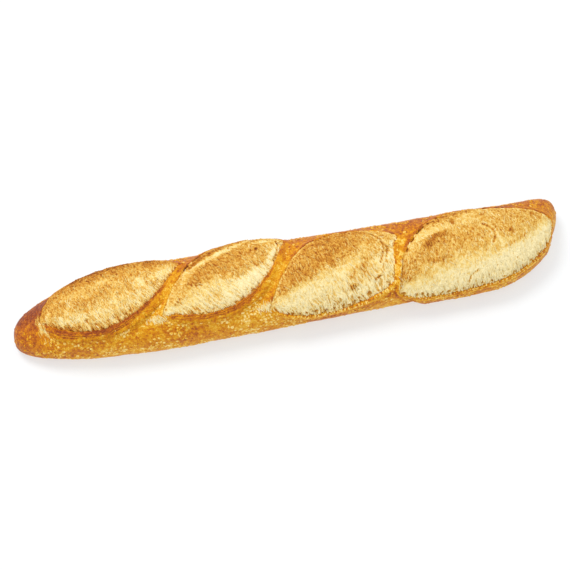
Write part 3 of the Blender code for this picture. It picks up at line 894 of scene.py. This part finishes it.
MOTTLE = mottle_group()
CRUST_RAMP = ramp_group("crust_ramp", (
    (0.0, (255, 226, 146)), (0.2, (245, 199, 86)), (0.36, (227, 165, 16)), (0.5, (218, 141, 4)),
    (0.65, (197, 112, 8)), (0.8, (174, 88, 20)), (1.0, (132, 56, 22)),
))
CRUMB_RAMP = ramp_group("crumb_ramp", (
    (0.0, (254, 238, 186)), (0.18, (247, 221, 148)), (0.33, (236, 197, 108)), (0.5, (221, 165, 69)),
    (0.65, (202, 134, 47)), (0.8, (170, 98, 36)), (1.0, (116, 60, 26)),
))


def baked(name, ramp, blotch, spot, grain, size, rough, shine, bump):
    """A baked surface: its browning and painted shade come from the mesh, its mottling from the shared group."""
    material = bpy.data.materials.new(name)
    material.use_nodes = True
    tree = material.node_tree
    shader = tree.nodes["Principled BSDF"]
    tone = node(tree, "ShaderNodeAttribute", attribute_name="tone").outputs["Fac"]
    mottle = node(tree, "ShaderNodeGroup", node_tree=MOTTLE)
    tree.links.new(tone, mottle.inputs["Tone"])
    for key, value in (("Blotch", blotch), ("Spot", spot), ("Grain", grain), ("Size", size)):
        mottle.inputs[key].default_value = value
    shade = node(tree, "ShaderNodeGroup", node_tree=ramp)
    tree.links.new(mottle.outputs["Tone"], shade.inputs["Tone"])
    tree.links.new(shade.outputs["Color"], shader.inputs["Base Color"])
    height = node(tree, "ShaderNodeBump", {"Height": mottle.outputs["Height"], "Distance": bump, "Strength": 1.0})
    tree.links.new(height.outputs["Normal"], shader.inputs["Normal"])
    shader.inputs["Roughness"].default_value = rough
    shader.inputs["Specular IOR Level"].default_value = shine
    return material


crust_look = baked("crust", CRUST_RAMP, 0.10, 0.22, 0.24, 1.0, 0.50, 0.18, 0.0005)
crumb_look = baked("crumb", CRUMB_RAMP, 0.06, 0.07, 0.10, 1.2, 0.85, 0.08, 0.0006)
for piece in (crust, *lips):
    piece.data.materials.append(crust_look)
for piece in crumbs:
    piece.data.materials.append(crumb_look)

# %% [markdown]
# ## Threads and blisters
#
# Two things repeat in their hundreds: torn threads of gluten that lie across the crumb, and blisters in the
# crust. Modelling each by hand would take days; Geometry Nodes strews copies of one small shape over a piece.
# The piece's own attributes steer it: "crop" says where they grow, "pull" which way they lie, and "tone" how
# brown the spot is, so each copy takes its colour from the place it lies on. The copies are then made real.

# %% The node tree that strews
def strewing_tree():
    tree = bpy.data.node_groups.new("strew", "GeometryNodeTree")
    tree.interface.new_socket("Geometry", in_out="INPUT", socket_type="NodeSocketGeometry")
    for label, kind, default in (
        ("Grain", "Object", None), ("Spacing", "Float", 0.002), ("Density", "Float", 1e5), ("Seed", "Int", 0),
        ("Where", "String", "crop"), ("Smallest", "Float", 0.6), ("Largest", "Float", 1.4), ("Turn", "Float", 0.3), ("Tone", "Float", -0.1),
        ("Look", "Material", None),
    ):
        socket = tree.interface.new_socket(label, in_out="INPUT", socket_type="NodeSocket" + kind)
        if default is not None:
            socket.default_value = default
    tree.interface.new_socket("Geometry", in_out="OUTPUT", socket_type="NodeSocketGeometry")
    into, out = tree.nodes.new("NodeGroupInput").outputs, tree.nodes.new("NodeGroupOutput").inputs

    def attribute(name, kind="FLOAT"):
        return node(tree, "GeometryNodeInputNamedAttribute", {"Name": name}, data_type=kind).outputs["Attribute"]

    def chance(low, high, seed, kind="FLOAT"):
        made = node(tree, "FunctionNodeRandomValue", data_type=kind)
        slots = [socket for socket in made.inputs if socket.enabled]
        for socket, value in zip(slots, (low, high)):
            if isinstance(value, bpy.types.NodeSocket):
                tree.links.new(value, socket)
            else:
                socket.default_value = value
        slots[-1].default_value = seed
        return [socket for socket in made.outputs if socket.enabled][0]

    points = node(tree, "GeometryNodeDistributePointsOnFaces", {
        "Mesh": into["Geometry"], "Distance Min": into["Spacing"], "Density Max": into["Density"],
        "Density Factor": attribute(into["Where"]), "Seed": into["Seed"],
    }, distribute_method="POISSON")
    laid = node(tree, "FunctionNodeAlignRotationToVector", {
        "Rotation": points.outputs["Rotation"], "Vector": attribute("pull", "FLOAT_VECTOR"),
    }, axis="X", pivot_axis="Z")
    angle = chance(maths(tree, "MULTIPLY", into["Turn"], -1.0), into["Turn"], 1)
    spin = node(tree, "FunctionNodeAxisAngleToRotation", {"Axis": (0, 0, 1), "Angle": angle})
    turned = node(tree, "FunctionNodeRotateRotation", {
        "Rotation": laid.outputs["Rotation"], "Rotate By": spin.outputs["Rotation"],
    }, rotation_space="LOCAL")
    copies = node(tree, "GeometryNodeInstanceOnPoints", {
        "Points": points.outputs["Points"], "Rotation": turned.outputs["Rotation"],
        "Instance": node(tree, "GeometryNodeObjectInfo", {"Object": into["Grain"]}).outputs["Geometry"],
        "Scale": chance(into["Smallest"], into["Largest"], 2, "FLOAT_VECTOR"),
    })
    shade = maths(tree, "ADD", maths(tree, "ADD", attribute("tone"), into["Tone"]), chance(-0.07, 0.07, 3))
    toned = node(tree, "GeometryNodeStoreNamedAttribute", {
        "Geometry": copies.outputs["Instances"], "Name": "tone", "Value": shade,
    }, domain="INSTANCE", data_type="FLOAT")
    real = node(tree, "GeometryNodeRealizeInstances", {"Geometry": toned.outputs["Geometry"]})
    look = node(tree, "GeometryNodeSetMaterial", {"Geometry": real.outputs["Geometry"], "Material": into["Look"]})
    tree.links.new(look.outputs["Geometry"], out["Geometry"])
    return tree


STREW = strewing_tree()


# %% The two small shapes, and strewing them
def spindle(name, rings, lines, long, wide, high, bow):
    """A closed spindle along X, bowed so that its ends dip; its UV fills the unit square."""
    points, at = [], np.linspace(-1, 1, rings + 2)[1:-1]
    for a in at:
        thick = np.sqrt(1 - a * a)
        for turn in np.linspace(0, 2 * np.pi, lines, endpoint=False):
            points.append((a * long / 2, np.cos(turn) * wide / 2 * thick, np.sin(turn) * high / 2 * thick - bow * a * a))
    points += [(-long / 2, 0, -bow), (long / 2, 0, -bow)]
    faces, uv = loft(rings, lines, len(points) - 2, len(points) - 1)
    return add_mesh(name, np.array(points), faces, (), uv)


def strew(name, ground, grain, look, **settings):
    """A plain mesh of copies of the grain over the ground, made by the node tree."""
    holder = bpy.data.objects.new("holder", ground.data)
    bpy.context.scene.collection.objects.link(holder)
    modifier = holder.modifiers.new("strew", "NODES")
    modifier.node_group = STREW
    sockets = {item.name: item.identifier for item in STREW.interface.items_tree if item.in_out == "INPUT"}
    modifier[sockets["Grain"]], modifier[sockets["Look"]] = grain, look
    for key, value in settings.items():
        modifier[sockets[key]] = value
    graph = bpy.context.evaluated_depsgraph_get()
    mesh = bpy.data.meshes.new_from_object(holder.evaluated_get(graph), preserve_all_data_layers=True, depsgraph=graph)
    bpy.data.objects.remove(holder)
    mesh.name = name
    # Each copy gets a square of its own on the UV map.
    per_copy = len(grain.data.loops)
    copies = len(mesh.loops) // per_copy
    side = math.ceil(math.sqrt(copies))
    cell = np.stack(np.divmod(np.arange(copies), side)[::-1], -1).repeat(per_copy, axis=0)
    layer = mesh.uv_layers["OFBake"]
    uv = np.empty(len(mesh.loops) * 2, np.float32)
    layer.data.foreach_get("uv", uv)
    layer.data.foreach_set("uv", ((cell + 0.1 + 0.8 * uv.reshape(-1, 2)) / side).astype(np.float32).ravel())
    thing = bpy.data.objects.new(name, mesh)
    bpy.context.scene.collection.objects.link(thing)
    print(copies, "copies;", end=" ")
    describe(thing)
    return thing


thread = spindle("thread", 4, 4, 4.2 * MM, 0.55 * MM, 0.42 * MM, 0.10 * MM)
blister = spindle("blister", 3, 6, 1.8 * MM, 1.6 * MM, 0.55 * MM, 0.02 * MM)
strewn = []
for number, piece in enumerate(crumbs):
    strewn.append(strew(
        f"threads_{number + 1}", piece, thread, crumb_look,
        Spacing=0.0008, Density=1.6e6, Seed=number, Smallest=0.5, Largest=1.3, Turn=0.7, Tone=-0.20,
    ))
strewn.append(strew(
    "smears", crust, thread, crumb_look,
    Where="smear", Spacing=0.0007, Density=3e6, Seed=5, Smallest=0.6, Largest=1.5, Turn=0.5, Tone=-0.26,
))
strewn.append(strew(
    "blisters", crust, blister, crust_look,
    Spacing=0.0020, Density=5e5, Seed=9, Smallest=0.7, Largest=2.0, Turn=3.1, Tone=-0.30,
))
bpy.data.objects.remove(thread)
bpy.data.objects.remove(blister)

# %% Belonging to the frame
for piece in (crust, *crumbs, *lips, *strewn):
    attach(piece, "root")
    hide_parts("baguette")

# %% [markdown]
# ## The table, the light and the camera
#
# The loaf lies on a white table lit from below, in the light of a large window up to the left. The table's own
# glow lifts the shadow until it is faint, and lights the front flank.

# %% Stage
bpy.ops.mesh.primitive_plane_add(size=8, location=(0, 0, -0.0001))
floor = bpy.context.object
floor.name = "floor"
paper = bpy.data.materials.new("paper")
paper.use_nodes = True
for key, value in (("Base Color", (0.42, 0.42, 0.42, 1)), ("Roughness", 0.9), ("Specular IOR Level", 0.0),
                   ("Emission Color", (0.92, 0.97, 1, 1)), ("Emission Strength", 0.565)):
    paper.node_tree.nodes["Principled BSDF"].inputs[key].default_value = value
floor.data.materials.append(paper)

world = bpy.data.worlds.new("studio")
bpy.context.scene.world = world
world.use_nodes = True
world.node_tree.nodes["Background"].inputs["Color"].default_value = (1, 1, 1, 1)
world.node_tree.nodes["Background"].inputs["Strength"].default_value = 0.88


def lamp(name, at, size, watts):
    light = bpy.data.lights.new(name, "AREA")
    light.shape, light.size, light.energy = "DISK", size, watts
    thing = bpy.data.objects.new(name, light)
    bpy.context.scene.collection.objects.link(thing)
    thing.location = at
    thing.rotation_mode = "QUATERNION"
    thing.rotation_quaternion = (-thing.location).to_track_quat("-Z", "Y")
    return thing


lamp("window", (-0.50, 0.45, 1.7), 0.7, 14)
bpy.context.scene.view_settings.view_transform = "Standard"

# %% Camera
AZIMUTH, ELEVATION = math.radians(-12), math.radians(60)
BACK = (math.sin(AZIMUTH) * math.cos(ELEVATION), -math.cos(AZIMUTH) * math.cos(ELEVATION), math.sin(ELEVATION))
lens = bpy.data.cameras.new("camera")
lens.lens, lens.sensor_width, lens.clip_start = 100, 36, 0.01
camera = bpy.data.objects.new("camera", lens)
bpy.context.scene.collection.objects.link(camera)
camera.location = [t + b * 1.199 for t, b in zip((-0.0076, -0.0015, 0.0221), BACK)]
camera.rotation_mode = "QUATERNION"
camera.rotation_quaternion = (-Vector(BACK)).to_track_quat("-Z", "Y")
bpy.context.scene.camera = camera
